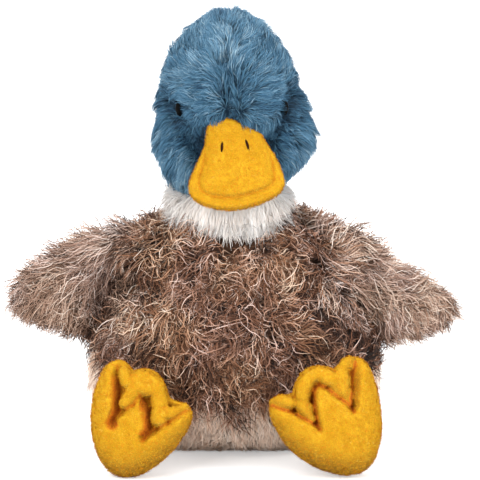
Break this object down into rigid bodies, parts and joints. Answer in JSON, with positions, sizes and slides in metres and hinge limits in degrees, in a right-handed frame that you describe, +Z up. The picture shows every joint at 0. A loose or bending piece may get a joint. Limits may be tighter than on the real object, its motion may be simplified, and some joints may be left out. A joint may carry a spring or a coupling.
{
  "type": "plush duck",
  "caption": "Sitting plush duck with a drooping padded bill, spread wings and flat three-toed feet, each limb folding at its seam.",
  "frame": {"origin": "on the surface that the duck sits on, below the middle of its box", "axes": "+Z up, -Y the way it faces, +X towards its own left wing"},
  "size_m": [0.2829, 0.2192, 0.2782],
  "materials": {
    "shaggy_plush": "long curly taupe pile with paler tips",
    "cream_plush": "long cream pile",
    "white_plush": "long off-white pile",
    "blue_plush": "medium slate blue pile",
    "yellow_pile": "short dense yellow pile",
    "fibre_stuffing": "loose white fibre",
    "pellet_bag": "plain woven bag",
    "black_plastic": "polished black",
    "natural_plastic": "unpainted moulded plastic",
    "dark_thread": "twisted dark brown thread"
  },
  "bodies": {
    "body": {"body_cover": "shaggy_plush", "body_stuffing": "fibre_stuffing", "seat_panel": "cream_plush", "seat_pellet_bag": "pellet_bag", "neck_ruff": "white_plush"},
    "neck": {"neck_stuffing": "fibre_stuffing"},
    "head": {"head_cover": "blue_plush", "head_stuffing": "fibre_stuffing", "cheek_left": "blue_plush", "cheek_right": "blue_plush", "eye_left": "black_plastic", "eye_right": "black_plastic", "eye_washer_left": "natural_plastic", "eye_washer_right": "natural_plastic", "bill_upper": "yellow_pile", "bill_lower": "yellow_pile", "bill_padding": "fibre_stuffing", "nostril_left": "dark_thread", "nostril_right": "dark_thread"},
    "wing_left": {"wing_left": "shaggy_plush"},
    "wing_right": {"wing_right": "shaggy_plush"},
    "leg_left": {"leg_left": "cream_plush"},
    "leg_right": {"leg_right": "cream_plush"},
    "foot_left": {"foot_sole_left": "yellow_pile", "foot_upper_left": "yellow_pile"},
    "foot_right": {"foot_sole_right": "yellow_pile", "foot_upper_right": "yellow_pile"},
    "tail": {"tail": "shaggy_plush"}
  },
  "joints": [
    {"name": "head_turn", "type": "hinge", "parent": "body", "child": "neck", "pos_m": [0, 0.01, 0.171], "axis": [0, 0, 1], "range_deg": [-40, 40], "stiffness_Nm_per_rad": 0.15, "deforming": ["neck_ruff"]},
    {"name": "head_nod", "type": "hinge", "parent": "neck", "child": "head", "pos_m": [0, 0.01, 0.171], "axis": [1, 0, 0], "range_deg": [-20, 12], "stiffness_Nm_per_rad": 0.8, "deforming": ["neck_ruff"]},
    {"name": "wing_left_fold", "type": "hinge", "parent": "body", "child": "wing_left", "pos_m": [0.07111, 0.01, 0.107], "axis": [0.4746, 0, -0.8802], "range_deg": [-20, 45], "stiffness_Nm_per_rad": 0.03},
    {"name": "wing_right_fold", "type": "hinge", "parent": "body", "child": "wing_right", "pos_m": [-0.07111, 0.01, 0.107], "axis": [0.4746, 0, 0.8802], "range_deg": [-20, 45], "stiffness_Nm_per_rad": 0.03},
    {"name": "leg_left_swing", "type": "hinge", "parent": "body", "child": "leg_left", "pos_m": [0.04675, -0.04574, 0.033], "axis": [1, 0, 0], "range_deg": [-25, 20], "stiffness_Nm_per_rad": 0.12},
    {"name": "leg_right_swing", "type": "hinge", "parent": "body", "child": "leg_right", "pos_m": [-0.04675, -0.04574, 0.033], "axis": [1, 0, 0], "range_deg": [-25, 20], "stiffness_Nm_per_rad": 0.12},
    {"name": "foot_left_flop", "type": "hinge", "parent": "leg_left", "child": "foot_left", "pos_m": [0.058, -0.07674, 0.02773], "axis": [1, 0, 0], "range_deg": [-20, 20], "stiffness_Nm_per_rad": 0.05},
    {"name": "foot_right_flop", "type": "hinge", "parent": "leg_right", "child": "foot_right", "pos_m": [-0.058, -0.07674, 0.02773], "axis": [1, 0, 0], "range_deg": [-20, 20], "stiffness_Nm_per_rad": 0.05},
    {"name": "tail_lift", "type": "hinge", "parent": "body", "child": "tail", "pos_m": [0, 0.07862, 0.034], "axis": [1, 0, 0], "range_deg": [-15, 25], "stiffness_Nm_per_rad": 0.02}
  ]
}
